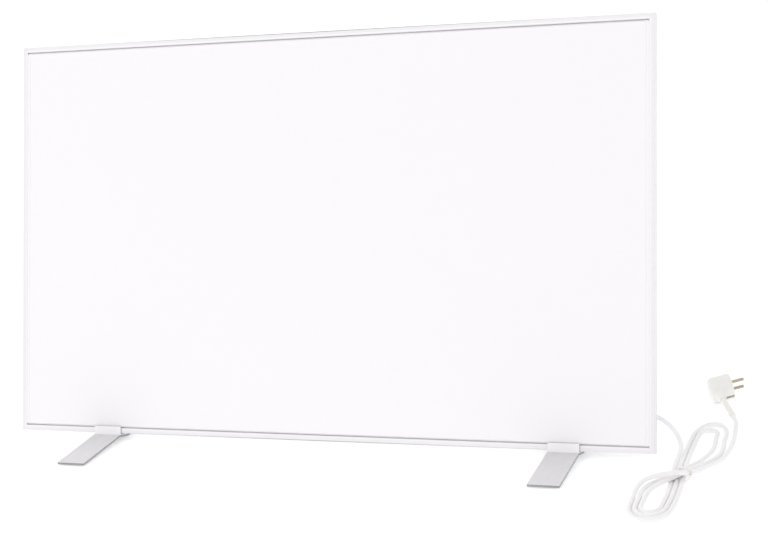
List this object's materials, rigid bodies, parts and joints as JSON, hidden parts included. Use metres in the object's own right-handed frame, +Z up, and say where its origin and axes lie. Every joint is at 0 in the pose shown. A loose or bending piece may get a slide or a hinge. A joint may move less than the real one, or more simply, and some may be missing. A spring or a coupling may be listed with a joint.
{
  "type": "infrared panel heater",
  "caption": "Flat white infrared heating panel in a slim frame, leaning back on sliding clip-on feet, with a rear junction box and a tied mains lead ending in an earthed plug.",
  "frame": {"origin": "on the floor, midway between the panel's sides and midway between the front and back ends of the feet", "axes": "+X to the right seen from the front along the panel's width, -Y towards the viewer in front, +Z up; the panel leans back 14 degrees towards +Y"},
  "size_m": [1.0958, 0.5229, 0.5939],
  "materials": {
    "frame_coating": "satin powder coating, white, on aluminium section",
    "emitter_enamel": "smooth matt enamel, white, on aluminium sheet",
    "cover_coating": "satin powder coating, light grey white",
    "zinc_steel": "zinc plated",
    "foot_steel": "fine brushed, pale",
    "clip_coating": "satin powder coating, white",
    "liner_rubber": "dull",
    "pad_rubber": "dull",
    "knob_plastic": "moulded",
    "alloy": "mill finish",
    "film": "carbon print on polyester",
    "copper_foil": "rolled copper foil",
    "mica": "pressed mica paper",
    "foil": "bright rolled foil",
    "board": "mineral fibre board",
    "box_plastic": "fine moulded grain, white",
    "bush_brass": "machined",
    "block_plastic": "moulded",
    "wire_brown": "cable insulation",
    "wire_blue": "cable insulation",
    "wire_green": "cable insulation",
    "cord_white": "soft cable jacket, white",
    "tie_paper": "coated wire tie, beige",
    "plug_white": "moulded, white",
    "contact_brass": "drawn and polished"
  },
  "bodies": {
    "panel": {"frame_top_rail": "frame_coating", "frame_bottom_rail": "frame_coating", "frame_left_stile": "frame_coating", "frame_right_stile": "frame_coating", "corner_keys": "alloy", "corner_screws": "zinc_steel", "emitter_plate": "emitter_enamel", "heating_film": "film", "busbar_left": "copper_foil", "busbar_right": "copper_foil", "mica_sheet": "mica", "reflector_foil": "foil", "insulation_board": "board", "back_cover": "cover_coating", "back_cover_screws": "zinc_steel", "wall_bushes": "bush_brass", "junction_box": "box_plastic", "junction_box_lid": "box_plastic", "lid_screws": "zinc_steel", "terminal_block": "block_plastic", "terminal_screws": "zinc_steel", "thermal_cutout": "knob_plastic", "earth_screw": "bush_brass", "live_lead": "wire_brown", "neutral_lead": "wire_blue", "earth_lead": "wire_green", "supply_cores": "wire_brown", "cable_gland": "box_plastic", "gland_nut": "box_plastic", "cord_lead": "cord_white", "cord_hank": "cord_white", "cord_tail": "cord_white", "cord_tie": "tie_paper", "plug_sleeve": "plug_white", "plug_body": "plug_white", "plug_pins": "contact_brass", "plug_earth_strips": "contact_brass"},
    "foot_left": {"foot_plate_left": "foot_steel", "foot_clip_left": "clip_coating", "foot_liner_left": "liner_rubber", "foot_rivets_left": "zinc_steel", "foot_pads_left": "pad_rubber"},
    "clamp_left": {"clamp_screw_left": "knob_plastic"},
    "foot_right": {"foot_plate_right": "foot_steel", "foot_clip_right": "clip_coating", "foot_liner_right": "liner_rubber", "foot_rivets_right": "zinc_steel", "foot_pads_right": "pad_rubber"},
    "clamp_right": {"clamp_screw_right": "knob_plastic"}
  },
  "joints": [
    {"name": "foot_left_slide", "type": "slide", "parent": "panel", "child": "foot_left", "axis": [1, 0, 0], "range_m": [-0.084, 0.196]},
    {"name": "foot_right_slide", "type": "slide", "parent": "panel", "child": "foot_right", "axis": [1, 0, 0], "range_m": [-0.223, 0.057]},
    {"name": "clamp_left_turn", "type": "hinge", "parent": "foot_left", "child": "clamp_left", "pos_m": [-0.346, -0.00417, 0.01197], "axis": [0, 0.9703, -0.2419], "range_deg": [0, 360]},
    {"name": "clamp_right_turn", "type": "hinge", "parent": "foot_right", "child": "clamp_right", "pos_m": [0.373, -0.00417, 0.01197], "axis": [0, 0.9703, -0.2419], "range_deg": [0, 360]}
  ]
}
